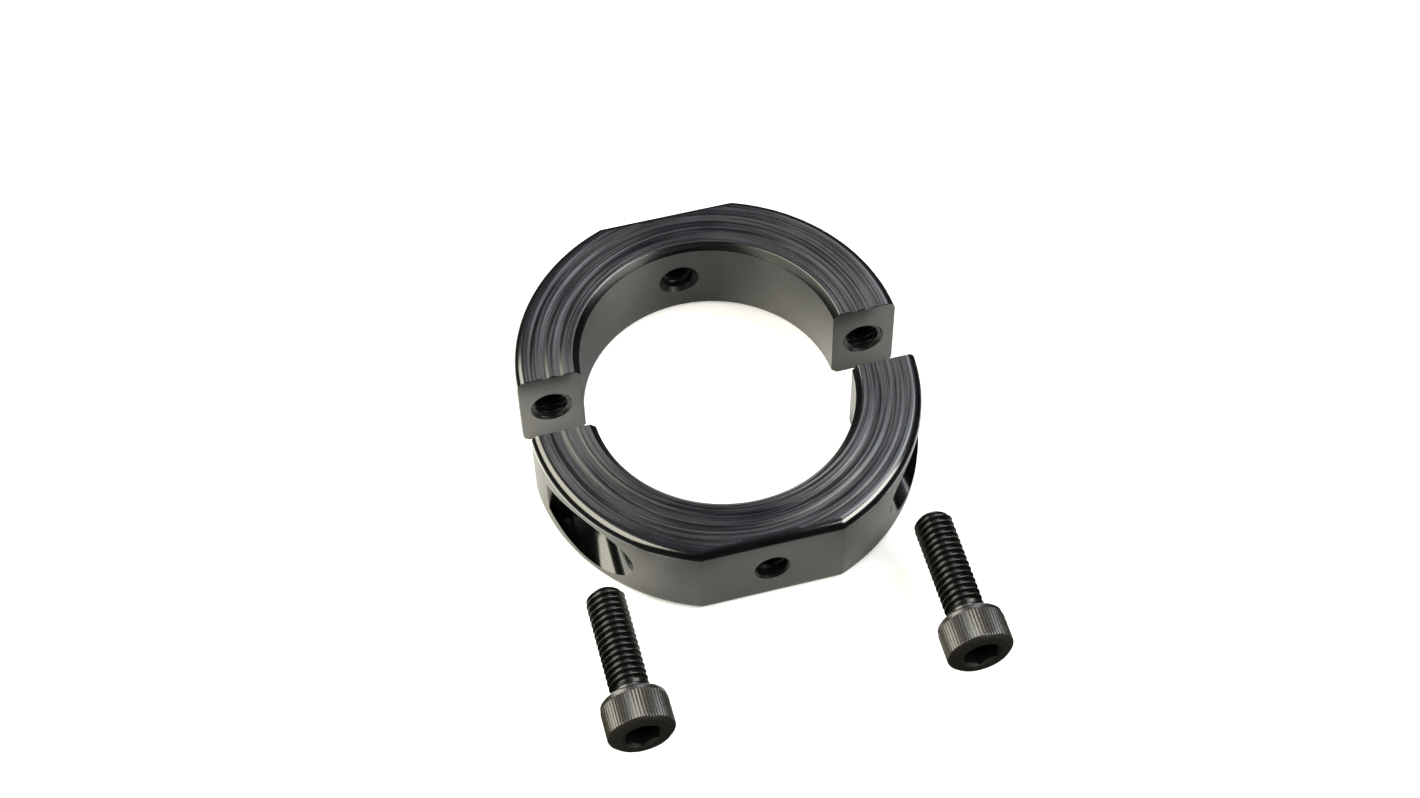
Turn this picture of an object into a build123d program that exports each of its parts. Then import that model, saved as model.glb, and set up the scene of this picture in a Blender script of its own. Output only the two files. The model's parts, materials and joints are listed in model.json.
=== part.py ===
from build123d import *

import os

# Two-piece clamp shaft collar, laid open, with its screws withdrawn in line with their holes.
# The origin is the middle of the rear half's bore axis. +Z runs along the bore, and +Y points from
# the front half to the rear half, which is the way the clamp screws go in.

# ---- collar, millimetres ----
bore_diameter = 40.0
outer_diameter = 60.0
width = 15.0
bore_chamfer = 1.0
outer_edge_radius = 1.5         # round between the end faces and the outside, flats included
flat_distance = 28.0            # bore axis to the milled flat on each half
split_gap = 2.0                 # slit left between the mating faces of a closed collar
opening = 8.0                   # travel of the front half from laid open to closed

# ---- clamp screw holes ----
screw_offset = 25.0             # bore axis to each screw's axis
screw_mouth_diameter = 6.6      # countersunk mouth of the tapped hole
tapped_clearance = 0.05         # the tapped wall is this much over the thread's size, on the radius
clearance_hole_diameter = 6.6
counterbore_diameter = 10.5
seat_distance = 7.0             # front half's bore axis to its counterbore floors

# ---- cross holes through the flats ----
cross_drill_diameter = 4.2
cross_mouth_diameter = 5.5
cross_bore_mouth_diameter = 6.0

# ---- clamp screws ----
screw_diameter = 6.0
screw_length = 18.0
thread_clearance = 0.03         # the threaded shank is this much under the thread's size, on the radius
neck_diameter = 5.5
neck_length = 1.6
tip_chamfer = 0.8
head_diameter = 10.0
head_height = 6.0
head_rim_chamfer = 0.5
head_seat_chamfer = 0.3
socket_across_flats = 5.0
socket_depth = 3.0
socket_point_depth = 0.9        # cone that the drill leaves under the hexagon
withdrawn_tip_distance = 26.0   # front half's bore axis to the tip of a withdrawn screw

# ---- worked out from the above ----
bore_radius = bore_diameter / 2
outer_radius = outer_diameter / 2
tapped_radius = screw_diameter / 2 + tapped_clearance
front_axis_y = -opening
seat_y = front_axis_y - seat_distance
withdrawn_seat_y = front_axis_y - withdrawn_tip_distance - screw_length

# ---- planes: each mating face and flat has its normal pointing out of its half ----
rear_base_plane = Plane((0, 0, -width / 2))
front_base_plane = Plane((0, front_axis_y, -width / 2))
rear_mating_plane = Plane.XZ.offset(-split_gap / 2)
front_mating_plane = Plane.ZX.offset(front_axis_y - split_gap / 2)
rear_flat_plane = Plane.ZX.offset(flat_distance)
front_flat_plane = Plane.XZ.offset(flat_distance - front_axis_y)


def screw_stations(face):
    """The two clamp screw axes, as planes that lie in this face and look its way."""
    return [
        Plane(face.origin + Vector(x, 0, 0), x_dir=face.x_dir, z_dir=face.z_dir)
        for x in (-screw_offset, screw_offset)
    ]


def cut_cone(plane, wide_radius, narrow_radius):
    """Cuts a 45 degree cone out of the open part, wide end on this plane, narrowing along its normal."""
    with Locations(plane):
        Cone(
            wide_radius,
            narrow_radius,
            wide_radius - narrow_radius,
            align=(Align.CENTER, Align.CENTER, Align.MIN),
            mode=Mode.SUBTRACT,
        )


def cut_cross_hole(flat_plane):
    """Cuts a cross hole through the open half, countersunk at its flat and where it meets the bore."""
    drill_radius = cross_drill_diameter / 2
    with Locations(flat_plane):
        CounterSinkHole(
            drill_radius, cross_mouth_diameter / 2, depth=outer_radius / 2, counter_sink_angle=90
        )
    bore_wall_plane = flat_plane.offset(bore_radius - flat_distance)
    cut_cone(bore_wall_plane, cross_bore_mouth_diameter / 2, drill_radius)


# ---- rear half: turned half ring with a flat, tapped clamp holes and a tapped cross hole ----
with BuildPart() as rear_half:
    with BuildSketch(rear_base_plane):
        Circle(outer_radius)
        Circle(bore_radius, mode=Mode.SUBTRACT)
        with Locations((0, flat_distance + outer_radius / 2)):
            Rectangle(outer_diameter, outer_radius, mode=Mode.SUBTRACT)
    extrude(amount=width)
    end_edges = rear_half.faces().filter_by(Axis.Z).edges()
    bore_edges = end_edges.filter_by(GeomType.CIRCLE).group_by(SortBy.RADIUS)[0]
    fillet(end_edges - bore_edges, outer_edge_radius)
    chamfer(bore_edges, bore_chamfer)
    split(bisect_by=rear_mating_plane, keep=Keep.BOTTOM)
    with Locations(*screw_stations(rear_mating_plane)):
        CounterSinkHole(tapped_radius, screw_mouth_diameter / 2, counter_sink_angle=90)
    cut_cross_hole(rear_flat_plane)

rear_half.part.label = "rear_half"

# ---- front half: turned half ring with a flat, counterbored clamp holes and a tapped cross hole ----
with BuildPart() as front_half:
    with BuildSketch(front_base_plane):
        Circle(outer_radius)
        Circle(bore_radius, mode=Mode.SUBTRACT)
        with Locations((0, -flat_distance - outer_radius / 2)):
            Rectangle(outer_diameter, outer_radius, mode=Mode.SUBTRACT)
    extrude(amount=width)
    end_edges = front_half.faces().filter_by(Axis.Z).edges()
    bore_edges = end_edges.filter_by(GeomType.CIRCLE).group_by(SortBy.RADIUS)[0]
    fillet(end_edges - bore_edges, outer_edge_radius)
    chamfer(bore_edges, bore_chamfer)
    split(bisect_by=front_mating_plane, keep=Keep.BOTTOM)
    with Locations(*screw_stations(front_flat_plane)):
        CounterBoreHole(
            clearance_hole_diameter / 2, counterbore_diameter / 2, flat_distance - seat_distance
        )
    cut_cross_hole(front_flat_plane)

front_half.part.label = "front_half"


# ---- clamp screws: socket head cap screws, tip towards +Y ----
def clamp_screw(x):
    """One withdrawn clamp screw whose axis runs along +Y at this x."""
    head_radius = head_diameter / 2
    neck_radius = neck_diameter / 2
    thread_radius = screw_diameter / 2 - thread_clearance
    socket_radius = socket_across_flats / 2
    head_top_plane = Plane((x, withdrawn_seat_y - head_height, 0), x_dir=(1, 0, 0), z_dir=(0, -1, 0))
    with BuildPart() as screw:
        with BuildSketch(Plane((x, withdrawn_seat_y, 0))):
            with BuildLine():
                Polyline(
                    (0, -head_height),
                    (head_radius - head_rim_chamfer, -head_height),
                    (head_radius, -head_height + head_rim_chamfer),
                    (head_radius, -head_seat_chamfer),
                    (head_radius - head_seat_chamfer, 0),
                    (neck_radius, 0),
                    (neck_radius, neck_length),
                    (thread_radius, neck_length + thread_radius - neck_radius),
                    (thread_radius, screw_length - tip_chamfer),
                    (thread_radius - tip_chamfer, screw_length),
                    (0, screw_length),
                    close=True,
                )
            make_face()
        revolve(axis=Axis((x, withdrawn_seat_y, 0), (0, 1, 0)))
        with BuildSketch(head_top_plane):
            RegularPolygon(socket_radius, 6, major_radius=False)
        extrude(amount=-socket_depth, mode=Mode.SUBTRACT)
        with Locations(head_top_plane.offset(-socket_depth - socket_point_depth)):
            Cone(
                0,
                socket_radius,
                socket_point_depth,
                align=(Align.CENTER, Align.CENTER, Align.MIN),
                mode=Mode.SUBTRACT,
            )
    return screw.part


left_clamp_screw = clamp_screw(-screw_offset)
left_clamp_screw.label = "left_clamp_screw"

right_clamp_screw = clamp_screw(screw_offset)
right_clamp_screw.label = "right_clamp_screw"

# ---- one file per piece ----
os.makedirs("parts", exist_ok=True)
export_step(rear_half.part, "parts/rear_half.step")
export_step(front_half.part, "parts/front_half.step")
export_step(left_clamp_screw, "parts/left_clamp_screw.step")
export_step(right_clamp_screw, "parts/right_clamp_screw.step")
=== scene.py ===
"""A two-piece shaft collar laid open, with its clamp screws withdrawn: steel with a black oxide finish.

Each piece is modelled in millimetres in its own frame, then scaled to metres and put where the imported
frame has it. A half's own frame has its bore axis as Z. A screw's has its seat at the origin, and it is
built with its tip up Z, then turned to point along +Y.
"""

import json
import math

import bmesh
import bpy
from mathutils import Matrix, Vector


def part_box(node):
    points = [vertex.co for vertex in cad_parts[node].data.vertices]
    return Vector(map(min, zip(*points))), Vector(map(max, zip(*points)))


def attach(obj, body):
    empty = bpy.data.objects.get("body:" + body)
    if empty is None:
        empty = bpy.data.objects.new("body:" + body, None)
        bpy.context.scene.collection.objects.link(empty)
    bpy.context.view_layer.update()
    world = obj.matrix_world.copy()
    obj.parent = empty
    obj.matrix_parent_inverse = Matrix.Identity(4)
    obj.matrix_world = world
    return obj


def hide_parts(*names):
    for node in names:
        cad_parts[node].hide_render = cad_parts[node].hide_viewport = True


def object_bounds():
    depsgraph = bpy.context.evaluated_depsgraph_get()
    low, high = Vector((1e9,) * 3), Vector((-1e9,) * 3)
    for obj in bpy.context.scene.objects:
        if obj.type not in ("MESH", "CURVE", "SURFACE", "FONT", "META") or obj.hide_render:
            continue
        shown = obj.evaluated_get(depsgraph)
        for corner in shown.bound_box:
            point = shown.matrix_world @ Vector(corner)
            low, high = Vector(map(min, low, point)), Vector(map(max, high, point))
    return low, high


MM = 0.001

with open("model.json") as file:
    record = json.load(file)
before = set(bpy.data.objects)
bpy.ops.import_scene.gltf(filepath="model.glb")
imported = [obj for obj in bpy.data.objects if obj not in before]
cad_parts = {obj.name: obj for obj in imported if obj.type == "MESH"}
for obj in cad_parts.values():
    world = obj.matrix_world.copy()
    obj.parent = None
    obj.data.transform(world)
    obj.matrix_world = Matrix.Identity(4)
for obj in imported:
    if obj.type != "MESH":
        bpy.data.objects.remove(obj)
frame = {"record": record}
cad_low, cad_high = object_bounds()
mounts = {mount["name"]: mount for mount in frame["record"]["mounts"]}


def box_mm(node):
    """A CAD node's lowest and highest corners, in millimetres."""
    low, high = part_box(node)
    return low / MM, high / MM


# ---- sizes that the frame gives ----
rear_low, rear_high = box_mm("rear_half")
screw_low, screw_high = box_mm("right_clamp_screw")
cross_hole_radius = mounts["rear_cross_hole"]["dims"]["r_mm"]
bore_radius = mounts["rear_bore"]["dims"]["r_mm"]
front_axis_y = mounts["front_bore"]["pos_m"][1] / MM
half_width = rear_high.z
mating_distance = rear_low.y
flat_distance = rear_high.y
outer_radius = math.hypot(rear_high.x, mating_distance)
screw_offset = (screw_low.x + screw_high.x) / 2
head_radius = (screw_high.x - screw_low.x) / 2

# ---- collar details, millimetres ----
BORE_CHAMFER = 1.0
OUTER_ROUND = 1.5               # radius of the round between the end faces and the outside
ROUND_STEPS = 12
EDGE_SOFTENING = 0.12           # small round on each corner of a chamfer
EDGE_BREAK = 0.1                # filed off the outer edges of the mating faces
GROOVES = (                     # (inner radius, width, depth) of each turned ring on the end faces
    (21.2, 0.9, 0.05),
    (22.5, 1.7, 0.155),
    (24.7, 1.8, 0.165),
    (26.9, 1.3, 0.07),
)
GROOVE_DEEPEST = 0.42           # where a ring is deepest, as a part of its width from its inner edge
GROOVE_STEPS = 8                # points on each side of a ring
SEAT_DISTANCE = 6.98            # bore axis to the counterbore floors, which a seated screw just clears
COUNTERBORE_RADIUS = 5.25
CLEARANCE_RADIUS = 3.3
TAPPED_MOUTH_RADIUS = 3.3
TAPPED_MOUTH_END_RADIUS = 2.9
CROSS_MOUTH_RADIUS = 2.75
CROSS_BORE_MOUTH_RADIUS = 3.0
CROSS_RECESS_RADIUS = 2.4       # plain hole between a countersink and the thread
CROSS_RECESS_DEPTH = 1.6
RING_STEPS = 360

# ---- threads: (pitch, crest radius, root radius) of the metal on a screw, or of the space in a hole ----
SCREW_THREAD = (1.0, 2.97, 2.42)
TAPPED_THREAD = (1.0, 3.08, 2.56)
CROSS_THREAD = (0.8, 2.55, cross_hole_radius)
FLANK_SLOPE = math.tan(math.radians(30))
CREST_PART = 1 / 16             # half a crest's width, as a part of the pitch
THREAD_STEPS = 48

# ---- clamp screw details, millimetres ----
SCREW_LENGTH = 18.0
NECK_RADIUS = 2.72
NECK_LENGTH = 1.3
TIP_RADIUS = 2.15
TIP_CHAMFER = 0.8
HEAD_RIM_CHAMFER = 0.65
HEAD_FACE_RADIUS = 4.3
SOCKET_ACROSS_FLATS = 5.0
SOCKET_DEPTH = 3.0
SOCKET_POINT_DEPTH = 0.9
SOCKET_MOUTH_RADIUS = 2.98
KNURL_TEETH = 64
KNURL_DEPTH = 0.13
KNURL_STEPS_PER_TOOTH = 6
BAND_START = -0.35              # the plain band between the knurl and the seat, as heights from the seat
BAND_END = -1.0
SEAT_BEVEL = 0.45
NECK_FILLET = 0.2
RUNOUT_OVERLAP = 0.45           # how far the neck's end reaches into the shank
SOCKET_MOUTH_DEPTH = 0.45

SMOOTH_ANGLE = math.radians(26)
TO_PLUS_Y = Matrix.Rotation(math.radians(-90), 4, "X")      # own Z to +Y, own X kept
HALF_TURN = Matrix.Rotation(math.pi, 4, "Z")


# ---- mesh building ----
def as_object(name, bm, *materials):
    """Puts a bmesh into the scene as an object with these materials, and frees it."""
    bmesh.ops.recalc_face_normals(bm, faces=bm.faces)
    mesh = bpy.data.meshes.new(name)
    bm.to_mesh(mesh)
    bm.free()
    for material in materials:
        mesh.materials.append(material)
    obj = bpy.data.objects.new(name, mesh)
    bpy.context.scene.collection.objects.link(obj)
    return obj


def turned_bmesh(outline, steps):
    """A closed solid of revolution about Z from an outline of (radius, height) points."""
    bm = bmesh.new()
    points = [bm.verts.new((radius, 0, height)) for radius, height in outline]
    edges = [bm.edges.new(pair) for pair in zip(points, points[1:])]
    if outline[0][0] > 0:
        edges.append(bm.edges.new((points[-1], points[0])))
    bmesh.ops.spin(
        bm, geom=points + edges, cent=(0, 0, 0), axis=(0, 0, 1), angle=math.tau, steps=steps, use_merge=True
    )
    bmesh.ops.remove_doubles(bm, verts=bm.verts, dist=1e-4)
    return bm


def cut_off(bm, point, normal):
    """Removes what lies beyond a plane and closes the cut with one face, which it returns."""
    cut = bmesh.ops.bisect_plane(
        bm,
        geom=bm.verts[:] + bm.edges[:] + bm.faces[:],
        dist=1e-5,
        plane_co=point,
        plane_no=normal,
        clear_outer=True,
    )["geom_cut"]
    edges = [item for item in cut if isinstance(item, bmesh.types.BMEdge) and item.is_boundary]
    return bmesh.ops.edgeloop_fill(bm, edges=edges)["faces"]


def threaded_bmesh(thread, start, end):
    """A closed right-hand threaded rod about Z, from start to end, with a crest at height 0 and angle 0."""
    pitch, crest_radius, root_radius = thread
    crest = pitch * CREST_PART
    flank = crest + (crest_radius - root_radius) * FLANK_SLOPE
    profile = (
        (-flank, root_radius),
        (-crest * 1.5, crest_radius - crest / 2),
        (-crest * 0.6, crest_radius),
        (crest * 0.6, crest_radius),
        (crest * 1.5, crest_radius - crest / 2),
        (flank, root_radius),
    )
    first_turn = math.floor(start / pitch) - 2
    last_turn = math.ceil(end / pitch) + 1
    bm = bmesh.new()
    rows = []
    for turn in range(first_turn, last_turn + 1):
        for offset, radius in profile:
            row = []
            for step in range(THREAD_STEPS):
                part = step / THREAD_STEPS
                angle = part * math.tau
                height = pitch * (turn + part) + offset
                row.append(bm.verts.new((radius * math.cos(angle), radius * math.sin(angle), height)))
            rows.append(row)
    rows_per_turn = len(profile)
    for index, (row, above) in enumerate(zip(rows, rows[1:])):
        if index + 1 + rows_per_turn < len(rows):
            row = row + [rows[index + rows_per_turn][0]]
            above = above + [rows[index + 1 + rows_per_turn][0]]
        for step in range(len(row) - 1):
            bm.faces.new((row[step], row[step + 1], above[step + 1], above[step]))
    cut_off(bm, (0, 0, start), (0, 0, -1))
    cut_off(bm, (0, 0, end), (0, 0, 1))
    return bm


def combine(target, operation, *others):
    """Joins other solids to the target, or cuts them from it, and removes them."""
    for other in others:
        modifier = target.modifiers.new(operation, "BOOLEAN")
        modifier.operation = operation
        modifier.solver = "EXACT"
        modifier.material_mode = "TRANSFER"
        modifier.object = other
    shaped = target.evaluated_get(bpy.context.evaluated_depsgraph_get())
    mesh = bpy.data.meshes.new_from_object(shaped)
    target.modifiers.clear()
    target.data = mesh
    for other in others:
        bpy.data.objects.remove(other)


def round_corner(before, corner, after, size, segments=3):
    """Points of a small round that replaces the corner of an outline, cut back by size along both sides."""
    corner = Vector(corner)
    start = corner + (Vector(before) - corner).normalized() * size
    end = corner + (Vector(after) - corner).normalized() * size
    points = []
    for step in range(segments + 1):
        part = step / segments
        points.append(tuple(start.lerp(corner, part).lerp(corner.lerp(end, part), part)))
    return points


def groove_points(side):
    """Points along an end face, from the bore outwards, that dip into each turned ring."""
    points = []
    for inner_radius, width, depth in GROOVES:
        for step in range(GROOVE_STEPS * 2 + 1):
            turn = step / GROOVE_STEPS
            if turn <= 1:
                part = turn * GROOVE_DEEPEST
            else:
                part = GROOVE_DEEPEST + (turn - 1) * (1 - GROOVE_DEEPEST)
            dip = depth * math.sin(math.pi / 2 * turn) ** 2
            points.append((inner_radius + width * part, side * (half_width - dip)))
    return points


def outer_round(step):
    """How far a point on the outer round is from its sharp edge: (inwards, down from the end face)."""
    angle = math.pi / 2 * step / ROUND_STEPS
    return OUTER_ROUND * (1 - math.sin(angle)), OUTER_ROUND * (1 - math.cos(angle))


def ring_outline():
    """Cross-section of the turned ring, as (radius, height) points."""
    sides = []
    for side in (-1, 1):
        face = side * half_width
        wall = (bore_radius, 0)
        low = (bore_radius, side * (half_width - BORE_CHAMFER))
        high = (bore_radius + BORE_CHAMFER, face)
        points = round_corner(wall, low, high, EDGE_SOFTENING)
        points += round_corner(low, high, (outer_radius, face), EDGE_SOFTENING)
        points += groove_points(side)
        for step in range(ROUND_STEPS + 1):
            inwards, down = outer_round(step)
            points.append((outer_radius - inwards, side * (half_width - down)))
        sides.append(points)
    bottom, top = sides
    return bottom + top[::-1]


# ---- collar halves ----
def half_blank(name):
    """The turned half ring with its mating faces at +Y and its milled flat, before its holes."""
    materials = (turned, faced, edged, chamfered, milled)
    bm = turned_bmesh(ring_outline(), RING_STEPS)
    bm.normal_update()
    for face in bm.faces:
        centre = face.calc_center_median()
        radius, tilt = centre.xy.length, abs(face.normal.z)
        if bore_radius + BORE_CHAMFER + EDGE_SOFTENING < radius < outer_radius - OUTER_ROUND:
            face.material_index = materials.index(faced)
        elif tilt > 0.01:
            chamfer = radius < bore_radius + BORE_CHAMFER and abs(tilt - math.sqrt(0.5)) < 0.01
            face.material_index = materials.index(chamfered if chamfer else edged)
    cuts = [
        ((0, mating_distance, 0), (0, -1, 0), milled),
        ((0, flat_distance, 0), (0, 1, 0), milled),
    ]
    for side in (-1, 1):
        cuts.append(((0, mating_distance + EDGE_BREAK, side * half_width), (0, -1, side), edged))
        cuts.append(((side * (outer_radius - EDGE_BREAK), mating_distance, 0), (side, -1, 0), edged))
        for step in range(1, ROUND_STEPS):
            angle = math.pi / 2 * step / ROUND_STEPS
            outwards = flat_distance - OUTER_ROUND + OUTER_ROUND * math.cos(angle)
            up = half_width - OUTER_ROUND + OUTER_ROUND * math.sin(angle)
            cuts.append(((0, outwards, side * up), (0, math.cos(angle), side * math.sin(angle)), edged))
    for point, normal, material in cuts:
        for face in cut_off(bm, point, normal):
            face.material_index = materials.index(material)
    return as_object(name, bm, *materials)


def countersink(name, mouth_radius, mouth_distance, end_radius, direction, material):
    """A 45 degree cone about +Y, widest at mouth_distance from the origin, that narrows along direction."""
    spare = 1.0                 # it stands this much proud of the face, so that the cut is clean
    height = mouth_radius - end_radius
    outline = [
        (0, mouth_distance - direction * spare),
        (mouth_radius + spare, mouth_distance - direction * spare),
        (end_radius, mouth_distance + direction * height),
        (0, mouth_distance + direction * height),
    ]
    cone = as_object(name, turned_bmesh(outline, THREAD_STEPS * 2), material)
    cone.data.transform(TO_PLUS_Y)
    return cone


def cross_hole_cutters():
    """The tapped cross hole in the middle of the flat, countersunk and recessed at both ends."""
    spare = 2.0
    low, high = bore_radius - spare, flat_distance + spare
    recess_low, recess_high = bore_radius + CROSS_RECESS_DEPTH, flat_distance - CROSS_RECESS_DEPTH
    step = CROSS_RECESS_RADIUS - cross_hole_radius
    hole = [
        (0, low),
        (CROSS_RECESS_RADIUS, low),
        (CROSS_RECESS_RADIUS, recess_low),
        (cross_hole_radius, recess_low + step),
        (cross_hole_radius, recess_high - step),
        (CROSS_RECESS_RADIUS, recess_high),
        (CROSS_RECESS_RADIUS, high),
        (0, high),
    ]
    for name, bm in (
        ("cross_hole", turned_bmesh(hole, THREAD_STEPS * 2)),
        ("cross_thread", threaded_bmesh(CROSS_THREAD, recess_low + step / 2, recess_high - step / 2)),
    ):
        cutter = as_object(name, bm, tapped)
        cutter.data.transform(TO_PLUS_Y)
        yield cutter
    yield countersink("cross_mouth", CROSS_MOUTH_RADIUS, flat_distance, cross_hole_radius, -1, tapped)
    yield countersink("cross_bore_mouth", CROSS_BORE_MOUTH_RADIUS, bore_radius, cross_hole_radius, 1, tapped)


def tapped_hole_cutters(x):
    """One tapped clamp hole, right through the rear half, with its chamfered mouth in the mating face."""
    spare = 2.0
    depth = outer_radius - mating_distance
    # the screw's seat is a whole number of pitches from the mating face, so the two threads stay in step
    thread = as_object("tapped_thread", threaded_bmesh(TAPPED_THREAD, -spare, depth), tapped)
    thread.data.transform(Matrix.Translation((x, mating_distance, 0)) @ TO_PLUS_Y)
    yield thread
    cone = countersink(
        "tapped_mouth", TAPPED_MOUTH_RADIUS, mating_distance, TAPPED_MOUTH_END_RADIUS, 1, tapped
    )
    cone.data.transform(Matrix.Translation((x, 0, 0)))
    yield cone


def clearance_hole_cutter(x):
    """One clearance hole and its counterbore, which opens through the outside of the front half."""
    outline = [
        (0, 0),
        (CLEARANCE_RADIUS, 0),
        (CLEARANCE_RADIUS, SEAT_DISTANCE),
        (COUNTERBORE_RADIUS - EDGE_SOFTENING, SEAT_DISTANCE),
        (COUNTERBORE_RADIUS, SEAT_DISTANCE + EDGE_SOFTENING),
        (COUNTERBORE_RADIUS, outer_radius),
        (0, outer_radius),
    ]
    hole = as_object("counterbore", turned_bmesh(outline, THREAD_STEPS * 3), drilled)
    hole.data.transform(Matrix.Translation((x, 0, 0)) @ TO_PLUS_Y)
    return hole


def build_rear_half():
    """The tapped half."""
    half = half_blank("collar_rear_half")
    cutters = list(cross_hole_cutters())
    for x in (-screw_offset, screw_offset):
        cutters += tapped_hole_cutters(x)
    combine(half, "DIFFERENCE", *cutters)
    return half


def build_front_half():
    """The counterbored half, turned round so that its mating faces look towards the rear half."""
    half = half_blank("collar_front_half")
    cutters = list(cross_hole_cutters())
    cutters += [clearance_hole_cutter(x) for x in (-screw_offset, screw_offset)]
    combine(half, "DIFFERENCE", *cutters)
    half.data.transform(HALF_TURN)
    return half


# ---- clamp screws ----
def head_bmesh(head_height):
    """The screw's knurled head and its short plain neck. The seat is at height 0, the head below it."""
    top = -head_height
    soft = 0.08                 # half the small bevel at the foot of the rim's chamfer
    outline = [
        (0, top),
        (HEAD_FACE_RADIUS - 0.1, top),
        (HEAD_FACE_RADIUS, top + 0.03),
        (head_radius - 0.1, top + HEAD_RIM_CHAMFER - soft),
        (head_radius, top + HEAD_RIM_CHAMFER + soft),
        (head_radius, BAND_END),
        (head_radius - KNURL_DEPTH, BAND_END + 0.1),
        (head_radius - KNURL_DEPTH, BAND_START),
        (head_radius - SEAT_BEVEL, 0),
        (NECK_RADIUS + NECK_FILLET, 0),
        (NECK_RADIUS, NECK_FILLET),
        (NECK_RADIUS, NECK_LENGTH),
        (SCREW_THREAD[2] - 0.15, NECK_LENGTH + RUNOUT_OVERLAP),
        (0, NECK_LENGTH + RUNOUT_OVERLAP),
    ]
    bm = turned_bmesh(outline, KNURL_TEETH * KNURL_STEPS_PER_TOOTH)
    knurl_low, knurl_high = top + HEAD_RIM_CHAMFER, BAND_END + 0.01
    for vertex in bm.verts:
        radius = math.hypot(vertex.co.x, vertex.co.y)
        if knurl_low < vertex.co.z < knurl_high and radius > head_radius - 0.05:
            tooth = math.atan2(vertex.co.y, vertex.co.x) / math.tau * KNURL_TEETH
            dip = KNURL_DEPTH * 2 * abs(tooth - round(tooth))
            vertex.co.xy *= (radius - dip) / radius
    return bm


def shank(name):
    """The threaded shank, ended by the tip's chamfer and by the run-out at the neck."""
    body = as_object(name, threaded_bmesh(SCREW_THREAD, 0.5, SCREW_LENGTH), threaded)
    _, crest_radius, root_radius = SCREW_THREAD
    spare = 0.2
    runout = crest_radius - root_radius + spare
    outline = [
        (0, NECK_LENGTH - runout / 2),
        (root_radius - spare, NECK_LENGTH - runout / 2),
        (crest_radius + spare, NECK_LENGTH + runout * 1.5),
        (crest_radius + spare, SCREW_LENGTH - TIP_CHAMFER - spare),
        (TIP_RADIUS, SCREW_LENGTH),
        (0, SCREW_LENGTH),
    ]
    combine(body, "INTERSECT", as_object("shank_limits", turned_bmesh(outline, THREAD_STEPS * 2), threaded))
    return body


def socket_cutters(head_height):
    """The hexagonal socket, its drilled point and its chamfered mouth."""
    spare = 0.5
    corner_radius = SOCKET_ACROSS_FLATS / 2 / math.cos(math.pi / 6)
    bm = bmesh.new()
    bmesh.ops.create_cone(
        bm,
        cap_ends=True,
        segments=6,
        radius1=corner_radius,
        radius2=corner_radius,
        depth=SOCKET_DEPTH + spare,
        matrix=Matrix.Translation((0, 0, -head_height + (SOCKET_DEPTH - spare) / 2)),
    )
    yield as_object("hexagon", bm, tapped)
    floor = -head_height + SOCKET_DEPTH
    point = [
        (0, floor - spare),
        (SOCKET_ACROSS_FLATS / 2, floor - spare),
        (SOCKET_ACROSS_FLATS / 2, floor),
        (0, floor + SOCKET_POINT_DEPTH),
    ]
    yield as_object("drill_point", turned_bmesh(point, THREAD_STEPS), tapped)
    mouth = [
        (0, -head_height - spare),
        (SOCKET_MOUTH_RADIUS + spare, -head_height - spare),
        (SOCKET_MOUTH_RADIUS - SOCKET_MOUTH_DEPTH, -head_height + SOCKET_MOUTH_DEPTH),
        (0, -head_height + SOCKET_MOUTH_DEPTH),
    ]
    yield as_object("socket_mouth", turned_bmesh(mouth, THREAD_STEPS * 2), knurled)


def build_screw(name, head_height):
    """A hexagon socket head cap screw, in its own frame."""
    screw = as_object(name, head_bmesh(head_height), knurled)
    combine(screw, "UNION", shank("shank"))
    combine(screw, "DIFFERENCE", *socket_cutters(head_height))
    screw.data.transform(TO_PLUS_Y)
    return screw


# ---- nodes ----
class Nodes:
    """Adds nodes to a tree by kind, with inputs given as values or as other nodes' sockets."""

    def __init__(self, tree):
        self.tree = tree
        tree.nodes.clear()

    def add(self, kind, inputs=(), **settings):
        made = self.tree.nodes.new(kind)
        for name, value in settings.items():
            setattr(made, name, value)
        for name, value in dict(inputs).items():
            self.put(made.inputs[name], value)
        return made

    def put(self, socket, value):
        if isinstance(value, bpy.types.NodeSocket):
            self.tree.links.new(value, socket)
        else:
            socket.default_value = value

    def math(self, operation, *values):
        made = self.add("ShaderNodeMath", operation=operation)
        for socket, value in zip(made.inputs, values):
            self.put(socket, value)
        return made.outputs[0]

    def noise(self, vector, scale, detail=2.0, roughness=0.5):
        inputs = {"Vector": vector, "Scale": scale, "Detail": detail, "Roughness": roughness}
        return self.add("ShaderNodeTexNoise", inputs).outputs["Fac"]

    def spread(self, value, low, high, to_low, to_high):
        """Maps low..high to to_low..to_high, held at both ends."""
        inputs = {"Value": value, "From Min": low, "From Max": high, "To Min": to_low, "To Max": to_high}
        return self.add("ShaderNodeMapRange", inputs).outputs[0]

    def blend_colour(self, factor, first, second):
        made = self.add("ShaderNodeMix", data_type="RGBA")
        self.put(made.inputs[0], factor)
        for socket, colour in zip(made.inputs[6:8], (first, second)):
            self.put(socket, (*colour, 1.0) if isinstance(colour, tuple) else colour)
        return made.outputs[2]


def steel_material(name, build):
    """A node material that a build function wires up from the piece's own coordinates, in millimetres."""
    material = bpy.data.materials.new(name)
    material.use_nodes = True
    nodes = Nodes(material.node_tree)
    position = nodes.add("ShaderNodeAttribute", attribute_name="piece_position").outputs["Vector"]
    surface = nodes.add("ShaderNodeBsdfPrincipled")
    output = nodes.add("ShaderNodeOutputMaterial")
    nodes.put(output.inputs["Surface"], surface.outputs[0])
    build(nodes, position, surface.inputs)
    return material


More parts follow.
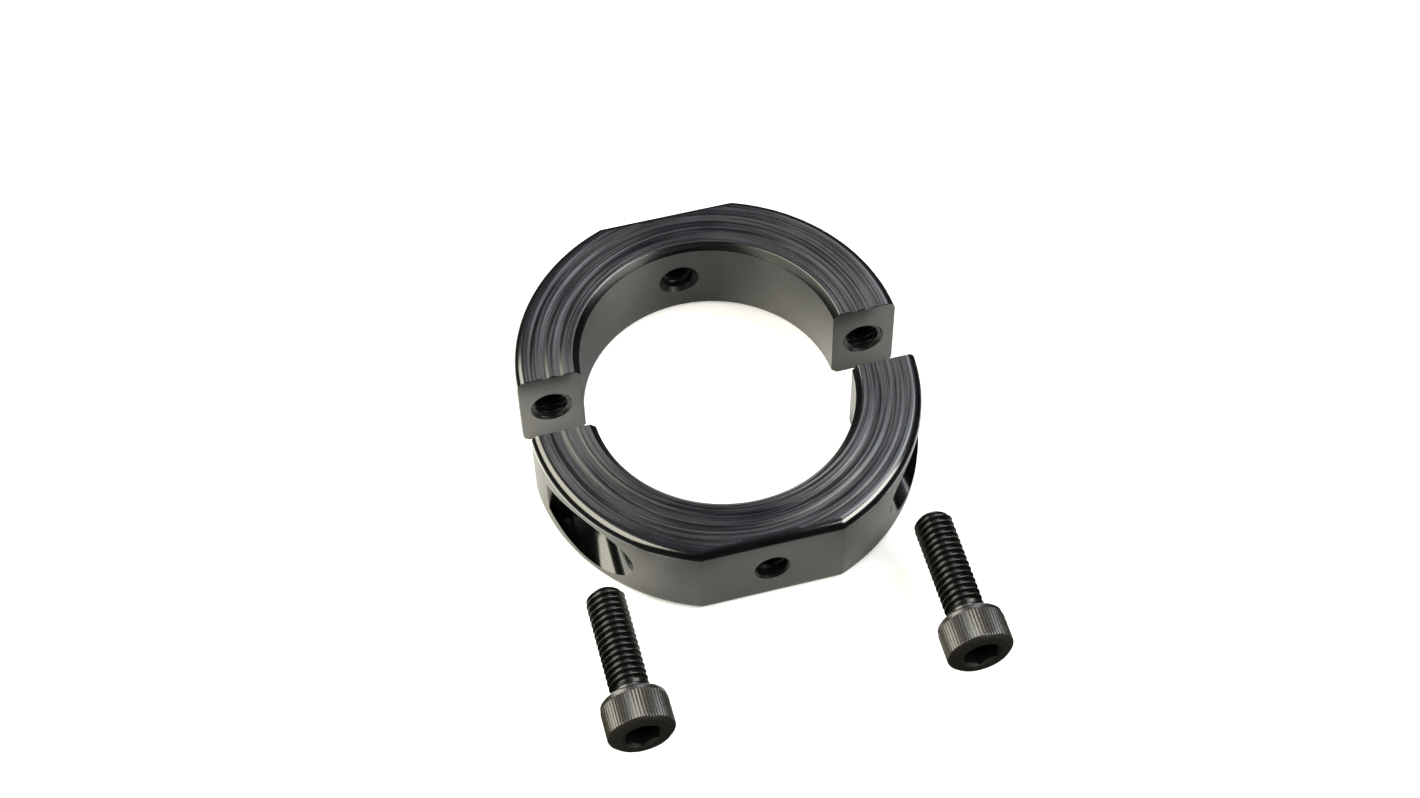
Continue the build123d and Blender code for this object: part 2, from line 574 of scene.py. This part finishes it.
def ring_coordinates(nodes, position, change):
    """A noise vector that draws a pattern out along circles about the bore axis. A small change draws
    it out further.
    """
    x, y, z = nodes.add("ShaderNodeSeparateXYZ", {"Vector": position}).outputs
    flat = nodes.add("ShaderNodeCombineXYZ", {"X": x, "Y": y}).outputs[0]
    radius = nodes.add("ShaderNodeVectorMath", {0: flat}, operation="LENGTH").outputs["Value"]
    angle = nodes.math("MULTIPLY", nodes.math("ARCTAN2", y, x), change)
    return nodes.add("ShaderNodeCombineXYZ", {"X": radius, "Y": angle, "Z": z}).outputs[0]


def across_the_rings(nodes, position, surface):
    """Turns the surface's tangent across its turned rings, which is the way a highlight spreads."""
    x, y, _ = nodes.add("ShaderNodeSeparateXYZ", {"Vector": position}).outputs
    along = nodes.add("ShaderNodeCombineXYZ", {"X": nodes.math("MULTIPLY", y, -1.0), "Y": x}).outputs[0]
    normal = nodes.add("ShaderNodeNewGeometry").outputs["Normal"]
    across = nodes.add("ShaderNodeVectorMath", {0: normal, 1: along}, operation="CROSS_PRODUCT").outputs[0]
    tangent = nodes.add("ShaderNodeVectorMath", {0: across}, operation="NORMALIZE").outputs[0]
    nodes.put(surface["Tangent"], tangent)


def faced_steel(nodes, position, surface):
    """End faces: turned rings, fine and coarse, with bright and dark streaks that come and go along them."""
    rings = nodes.noise(ring_coordinates(nodes, position, 0.12), 2.2, 3.0, 0.65)
    streaks = nodes.noise(ring_coordinates(nodes, position, 0.35), 3.5, 2.0, 0.5)
    patches = nodes.noise(position, 0.12, 2.0)
    tone = nodes.math("ADD", nodes.math("MULTIPLY", streaks, 0.75), nodes.math("MULTIPLY", patches, 0.25))
    dark, light = (0.0008, 0.0009, 0.0014), (0.0115, 0.0120, 0.0142)
    nodes.put(surface["Base Color"], nodes.blend_colour(nodes.spread(tone, 0.42, 0.62, 0, 1), dark, light))
    nodes.put(surface["Roughness"], nodes.spread(streaks, 0.35, 0.65, 0.20, 0.40))
    nodes.put(surface["IOR"], nodes.spread(tone, 0.40, 0.64, 1.48, 1.92))
    nodes.put(surface["Anisotropic"], 0.7)
    across_the_rings(nodes, position, surface)
    height = nodes.math("ADD", nodes.math("MULTIPLY", rings, 0.65), nodes.math("MULTIPLY", streaks, 0.35))
    bump = nodes.add("ShaderNodeBump", {"Height": height, "Strength": 1.0, "Distance": 0.09 * MM})
    nodes.put(surface["Normal"], bump.outputs[0])


def turned_steel(nodes, position, surface):
    """Outside and bore walls: a satin that faint turned lines draw out up and down."""
    lines = nodes.noise(ring_coordinates(nodes, position, 0.5), 5.0, 3.0, 0.6)
    patches = nodes.noise(position, 0.15, 3.0)
    dark, light = (0.022, 0.022, 0.0215), (0.032, 0.032, 0.0315)
    lighter = nodes.spread(patches, 0.35, 0.65, 0, 1)
    nodes.put(surface["Base Color"], nodes.blend_colour(lighter, dark, light))
    nodes.put(surface["Roughness"], nodes.spread(lines, 0.3, 0.7, 0.30, 0.38))
    nodes.put(surface["IOR"], 1.8)
    nodes.put(surface["Anisotropic"], 0.95)
    across_the_rings(nodes, position, surface)
    bump = nodes.add("ShaderNodeBump", {"Height": lines, "Strength": 0.3, "Distance": 0.005 * MM})
    nodes.put(surface["Normal"], bump.outputs[0])


def edged_steel(nodes, position, surface):
    """Outer rounds and small edges: smooth and glossy."""
    lines = nodes.noise(ring_coordinates(nodes, position, 0.5), 5.0, 3.0, 0.6)
    patches = nodes.noise(position, 0.3, 3.0)
    dark, light = (0.0012, 0.0013, 0.0018), (0.0030, 0.0031, 0.0040)
    lighter = nodes.spread(patches, 0.35, 0.65, 0, 1)
    nodes.put(surface["Base Color"], nodes.blend_colour(lighter, dark, light))
    nodes.put(surface["Roughness"], nodes.spread(lines, 0.3, 0.7, 0.13, 0.20))
    nodes.put(surface["IOR"], 1.8)
    bump = nodes.add("ShaderNodeBump", {"Height": lines, "Strength": 0.3, "Distance": 0.004 * MM})
    nodes.put(surface["Normal"], bump.outputs[0])


def chamfered_steel(nodes, position, surface):
    """The bore's chamfers: dull, with turned lines."""
    lines = nodes.noise(ring_coordinates(nodes, position, 0.4), 4.0, 3.0, 0.6)
    dark, light = (0.0010, 0.0011, 0.0015), (0.0060, 0.0062, 0.0072)
    nodes.put(surface["Base Color"], nodes.blend_colour(nodes.spread(lines, 0.35, 0.65, 0, 1), dark, light))
    nodes.put(surface["Roughness"], nodes.spread(lines, 0.3, 0.7, 0.20, 0.30))
    nodes.put(surface["IOR"], 1.3)
    bump = nodes.add("ShaderNodeBump", {"Height": lines, "Strength": 0.5, "Distance": 0.012 * MM})
    nodes.put(surface["Normal"], bump.outputs[0])


def milled_steel(nodes, position, surface):
    """Flats and mating faces: an even satin with faint marks along the cut and a few rubbed spots."""
    across = nodes.add("ShaderNodeMapping", {"Vector": position, "Scale": (0.15, 0.15, 4.0)}).outputs[0]
    marks = nodes.noise(across, 1.5, 3.0, 0.6)
    grain = nodes.noise(position, 9.0, 2.0)
    patches = nodes.noise(position, 0.25, 3.0)
    dark, light = (0.001, 0.001, 0.001), (0.0035, 0.0035, 0.0035)
    lighter = nodes.spread(patches, 0.35, 0.65, 0, 1)
    nodes.put(surface["Base Color"], nodes.blend_colour(lighter, dark, light))
    nodes.put(surface["Roughness"], nodes.spread(marks, 0.3, 0.7, 0.15, 0.24))
    nodes.put(surface["IOR"], 1.6)
    height = nodes.math("ADD", nodes.math("MULTIPLY", marks, 0.6), nodes.math("MULTIPLY", grain, 0.4))
    bump = nodes.add("ShaderNodeBump", {"Height": height, "Strength": 0.4, "Distance": 0.006 * MM})
    nodes.put(surface["Normal"], bump.outputs[0])


def tapped_steel(nodes, position, surface):
    """Tapped walls, countersinks and sockets: dull and nearly black."""
    grain = nodes.noise(position, 6.0, 3.0)
    dark, light = (0.0010, 0.0010, 0.0012), (0.0030, 0.0030, 0.0032)
    nodes.put(surface["Base Color"], nodes.blend_colour(nodes.spread(grain, 0.3, 0.7, 0, 1), dark, light))
    nodes.put(surface["Roughness"], nodes.spread(grain, 0.3, 0.7, 0.28, 0.40))
    nodes.put(surface["IOR"], 1.4)
    bump = nodes.add("ShaderNodeBump", {"Height": grain, "Strength": 0.2, "Distance": 0.01 * MM})
    nodes.put(surface["Normal"], bump.outputs[0])


def drilled_steel(nodes, position, surface):
    """Counterbored and plain drilled walls: nearly black, glossy and a little oily."""
    grain = nodes.noise(position, 6.0, 3.0)
    dark, light = (0.0008, 0.0008, 0.0010), (0.0025, 0.0025, 0.0026)
    nodes.put(surface["Base Color"], nodes.blend_colour(nodes.spread(grain, 0.3, 0.7, 0, 1), dark, light))
    nodes.put(surface["Roughness"], nodes.spread(grain, 0.3, 0.7, 0.09, 0.18))
    nodes.put(surface["IOR"], 1.7)
    bump = nodes.add("ShaderNodeBump", {"Height": grain, "Strength": 0.2, "Distance": 0.01 * MM})
    nodes.put(surface["Normal"], bump.outputs[0])


def screw_radius(nodes, position):
    """Distance from a screw's own axis, which is Y."""
    flat = {0: position, 1: (1.0, 0.0, 1.0)}
    across = nodes.add("ShaderNodeVectorMath", flat, operation="MULTIPLY").outputs[0]
    return nodes.add("ShaderNodeVectorMath", {0: across}, operation="LENGTH").outputs["Value"]


def knurled_steel(nodes, position, surface):
    """The screw head: warm black oxide that has worn off the knurl's ridges."""
    grain = nodes.noise(position, 5.0, 4.0, 0.65)
    ridge = nodes.spread(screw_radius(nodes, position), head_radius - 0.09, head_radius, 0, 1)
    wear = nodes.math("MULTIPLY", ridge, nodes.spread(grain, 0.35, 0.6, 0.15, 1.0))
    dark, light, bare = (0.006, 0.0052, 0.0042), (0.014, 0.0122, 0.0100), (0.06, 0.054, 0.043)
    coating = nodes.blend_colour(nodes.spread(grain, 0.3, 0.7, 0, 1), dark, light)
    nodes.put(surface["Base Color"], nodes.blend_colour(wear, coating, bare))
    nodes.put(surface["Metallic"], nodes.math("MULTIPLY", wear, 0.6))
    nodes.put(surface["Roughness"], nodes.spread(grain, 0.3, 0.7, 0.25, 0.40))
    nodes.put(surface["IOR"], 1.8)
    bump = nodes.add("ShaderNodeBump", {"Height": grain, "Strength": 0.3, "Distance": 0.02 * MM})
    nodes.put(surface["Normal"], bump.outputs[0])


def threaded_steel(nodes, position, surface):
    """The screw's thread: glossy black oxide, a little lighter where the crests have rubbed."""
    grain = nodes.noise(position, 4.0, 3.0)
    outer = nodes.spread(screw_radius(nodes, position), SCREW_THREAD[1] - 0.12, SCREW_THREAD[1], 0, 1)
    crest = nodes.math("MULTIPLY", outer, nodes.spread(grain, 0.4, 0.6, 0.1, 1.0))
    coating, rubbed = (0.0018, 0.0017, 0.0016), (0.016, 0.0145, 0.012)
    nodes.put(surface["Base Color"], nodes.blend_colour(crest, coating, rubbed))
    nodes.put(surface["Roughness"], nodes.spread(grain, 0.3, 0.7, 0.22, 0.36))
    nodes.put(surface["IOR"], 1.45)
    bump = nodes.add("ShaderNodeBump", {"Height": grain, "Strength": 0.15, "Distance": 0.01 * MM})
    nodes.put(surface["Normal"], bump.outputs[0])


# ---- placing ----
def place(piece, node, position_mm):
    """Stores a piece's own coordinates for its materials, scales it to metres and puts it in place."""
    mesh = piece.data
    mesh.shade_smooth()
    mesh.set_sharp_from_angle(angle=SMOOTH_ANGLE)
    own_position = mesh.attributes.new("piece_position", "FLOAT_VECTOR", "POINT")
    for vertex, item in zip(mesh.vertices, own_position.data):
        item.vector = vertex.co
    mesh.transform(Matrix.Scale(MM, 4))
    piece.location = Vector(position_mm) * MM
    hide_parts(node)
    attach(piece, node)


faced = steel_material("faced_black_oxide", faced_steel)
turned = steel_material("turned_black_oxide", turned_steel)
edged = steel_material("edge_black_oxide", edged_steel)
chamfered = steel_material("chamfer_black_oxide", chamfered_steel)
milled = steel_material("milled_black_oxide", milled_steel)
drilled = steel_material("drilled_black_oxide", drilled_steel)
tapped = steel_material("tapped_black_oxide", tapped_steel)
knurled = steel_material("knurled_black_oxide", knurled_steel)
threaded = steel_material("threaded_black_oxide", threaded_steel)

place(build_rear_half(), "rear_half", (0, 0, 0))
place(build_front_half(), "front_half", (0, front_axis_y, 0))

seat_y = screw_high.y - SCREW_LENGTH
left_screw = build_screw("socket_head_screw_left", seat_y - screw_low.y)
right_screw = bpy.data.objects.new("socket_head_screw_right", left_screw.data.copy())
bpy.context.scene.collection.objects.link(right_screw)
place(left_screw, "left_clamp_screw", (-screw_offset, seat_y, 0))
place(right_screw, "right_clamp_screw", (screw_offset, seat_y, 0))


# ---- stage ----
PAINTED_LIGHT_RADIUS = 45.0         # millimetres from the collar's middle; within it the floor that steel mirrors carries painted light
# from here out the floor that steel mirrors fades to a painted shade, nearly black
PAINTED_DARK_RADIUS = 56.0
NEAR_FLOOR_RADIUS = 200.0       # from here the floor turns as pale as the room, so that no horizon shows
FAR_FLOOR_RADIUS = 700.0
PAINTED_LEFT_LIGHT_START = 10.0          # left of here painted light makes the floor outside the collar brighter in reflections
PAINTED_BORE_LIGHT_START = 5.0           # right of here painted light makes the floor inside the bore brighter in reflections
FLOOR_HALF_WIDTH = 3.0          # metres

LIGHT_DISTANCE = 0.55           # metres
SOFTBOXES = (                   # (name, azimuth, elevation, width, height, radiance, colour)
    ("left_softbox", 173, 43, 0.87, 0.38, 6.6, (1.0, 0.97, 0.80)),
    ("right_softbox", 330, 41, 0.38, 0.29, 11.0, (1.0, 0.97, 0.90)),
    ("high_card", 20, 58, 0.25, 0.25, 5.0, (0.92, 0.96, 1.0)),
    ("back_card", 58, 47, 0.18, 0.14, 3.0, (0.92, 0.96, 1.0)),
)

CAMERA_LENS = 61.82             # millimetres, on a sensor 36 mm wide
CAMERA_TARGET = (-1.14, -4.03, 0)
CAMERA_DISTANCE = 376.1
CAMERA_AZIMUTH = 270 - 13.62
CAMERA_ELEVATION = 54.33
CAMERA_ROLL = -1.31


def direction(azimuth, elevation):
    """Unit vector at an azimuth, anticlockwise from +X, and an elevation, both in degrees."""
    a, e = math.radians(azimuth), math.radians(elevation)
    return Vector((math.cos(a) * math.cos(e), math.sin(a) * math.cos(e), math.sin(e)))


def make_floor():
    """A plain pale floor, far wider than the picture. Steel mirrors only its part round the collar as
    bright, with painted light; beyond that part steel mirrors a painted shade, nearly black.
    """
    bm = bmesh.new()
    bmesh.ops.create_grid(bm, x_segments=2, y_segments=2, size=FLOOR_HALF_WIDTH)
    material = bpy.data.materials.new("pale_floor")
    material.use_nodes = True
    nodes = Nodes(material.node_tree)
    here = nodes.add("ShaderNodeTexCoord").outputs["Object"]
    away = nodes.add("ShaderNodeVectorMath", {0: here}, operation="LENGTH").outputs["Value"]
    aside = nodes.add("ShaderNodeSeparateXYZ", {"Vector": here}).outputs[0]
    # Painted light: in reflections the floor is made brighter to the left of the collar, to its right and
    # inside the bore, standing in for the softboxes' uneven light.
    left = nodes.spread(aside, -PAINTED_LIGHT_RADIUS * MM, -PAINTED_LEFT_LIGHT_START * MM, 1.5, 0.0)
    right = nodes.spread(aside, bore_radius * MM, PAINTED_LIGHT_RADIUS * MM, 0.0, 0.80)
    outside = nodes.math("ADD", 0.60, nodes.math("ADD", left, right))
    inside = nodes.spread(aside, PAINTED_BORE_LIGHT_START * MM, bore_radius * MM, 0.34, 2.4)
    under = nodes.spread(away, (bore_radius - 1) * MM, bore_radius * MM, 0, 1)
    sides = nodes.math("ADD", nodes.math("MULTIPLY", outside, under),
                       nodes.math("MULTIPLY", inside, nodes.math("SUBTRACT", 1.0, under)))
    # Painted shade: farther out, the floor in reflections fades to nearly black, which draws dark bands
    # along the rounds and walls.
    painted_shade_fall = nodes.spread(away, PAINTED_LIGHT_RADIUS * MM, PAINTED_DARK_RADIUS * MM, 1, 0.02)
    painted_floor_light = nodes.math("MULTIPLY", sides, painted_shade_fall)
    # Only glossy rays see this painted light and shade; other bounces see an even grey, and the camera sees
    # pale paper.
    rays = nodes.add("ShaderNodeLightPath").outputs
    painted_reflection_floor = nodes.blend_colour(rays["Is Glossy Ray"], (0.5, 0.5, 0.5), painted_floor_light)
    paper = nodes.blend_colour(nodes.noise(here, 40.0, 2.0), (0.84, 0.84, 0.83), (0.88, 0.88, 0.87))
    colour = nodes.blend_colour(rays["Is Camera Ray"], painted_reflection_floor, paper)
    surface = nodes.add("ShaderNodeBsdfDiffuse", {"Color": colour})
    haze = nodes.spread(away, NEAR_FLOOR_RADIUS * MM, FAR_FLOOR_RADIUS * MM, 0.35, 1.0)
    glow = nodes.add("ShaderNodeEmission", {"Strength": nodes.math("MULTIPLY", rays["Is Camera Ray"], haze)})
    both = nodes.add("ShaderNodeAddShader", {0: surface.outputs[0], 1: glow.outputs[0]})
    output = nodes.add("ShaderNodeOutputMaterial")
    nodes.put(output.inputs["Surface"], both.outputs[0])
    floor = as_object("floor", bm, material)
    floor.location.z = cad_low.z


def make_softbox(name, azimuth, elevation, width, height, radiance, colour):
    """A soft rectangular light that looks at the collar."""
    light = bpy.data.lights.new(name, "AREA")
    light.shape = "RECTANGLE"
    light.size = width
    light.size_y = height
    light.energy = radiance * math.pi * width * height
    light.color = colour
    lamp = bpy.data.objects.new(name, light)
    towards = direction(azimuth, elevation)
    lamp.location = towards * LIGHT_DISTANCE
    lamp.rotation_mode = "QUATERNION"
    lamp.rotation_quaternion = towards.to_track_quat("Z", "Y")
    lamp.visible_camera = False
    bpy.context.scene.collection.objects.link(lamp)


def make_room():
    """The room that the steel mirrors, dark but for a dim patch above the back. The camera sees it pale."""
    world = bpy.data.worlds.new("studio")
    world.use_nodes = True
    bpy.context.scene.world = world
    nodes = Nodes(world.node_tree)
    looking = nodes.add("ShaderNodeTexCoord").outputs["Generated"]
    back = nodes.add("ShaderNodeVectorMath", {0: looking, 1: direction(76, 62)}, operation="DOT_PRODUCT")
    shade = nodes.spread(back.outputs["Value"], 0.5, 0.97, 0, 1)
    room = nodes.blend_colour(shade, (0.012, 0.012, 0.015), (0.25, 0.26, 0.30))
    dim = nodes.add("ShaderNodeBackground", {"Color": room, "Strength": 1.0})
    pale = nodes.add("ShaderNodeBackground", {"Color": (1.0, 1.0, 1.0, 1.0), "Strength": 1.0})
    seen = nodes.add("ShaderNodeLightPath").outputs["Is Camera Ray"]
    mixed = nodes.add("ShaderNodeMixShader", {0: seen, 1: dim.outputs[0], 2: pale.outputs[0]})
    output = nodes.add("ShaderNodeOutputWorld")
    nodes.put(output.inputs["Surface"], mixed.outputs[0])


def make_camera():
    """A long lens above and in front of the collar, a little to its left, tilted by about a degree."""
    data = bpy.data.cameras.new("camera")
    data.sensor_width = 36.0
    data.lens = CAMERA_LENS
    data.clip_start = 0.01
    camera = bpy.data.objects.new("camera", data)
    towards = direction(CAMERA_AZIMUTH, CAMERA_ELEVATION)
    camera.location = (Vector(CAMERA_TARGET) + towards * CAMERA_DISTANCE) * MM
    camera.rotation_mode = "QUATERNION"
    level = towards.to_track_quat("Z", "Y")
    roll = Matrix.Rotation(math.radians(CAMERA_ROLL), 4, "Z")
    camera.rotation_quaternion = (level.to_matrix().to_4x4() @ roll).to_quaternion()
    bpy.context.scene.collection.objects.link(camera)
    bpy.context.scene.camera = camera


make_floor()
for softbox in SOFTBOXES:
    make_softbox(*softbox)
make_room()
make_camera()
bpy.context.scene.view_settings.view_transform = "Standard"
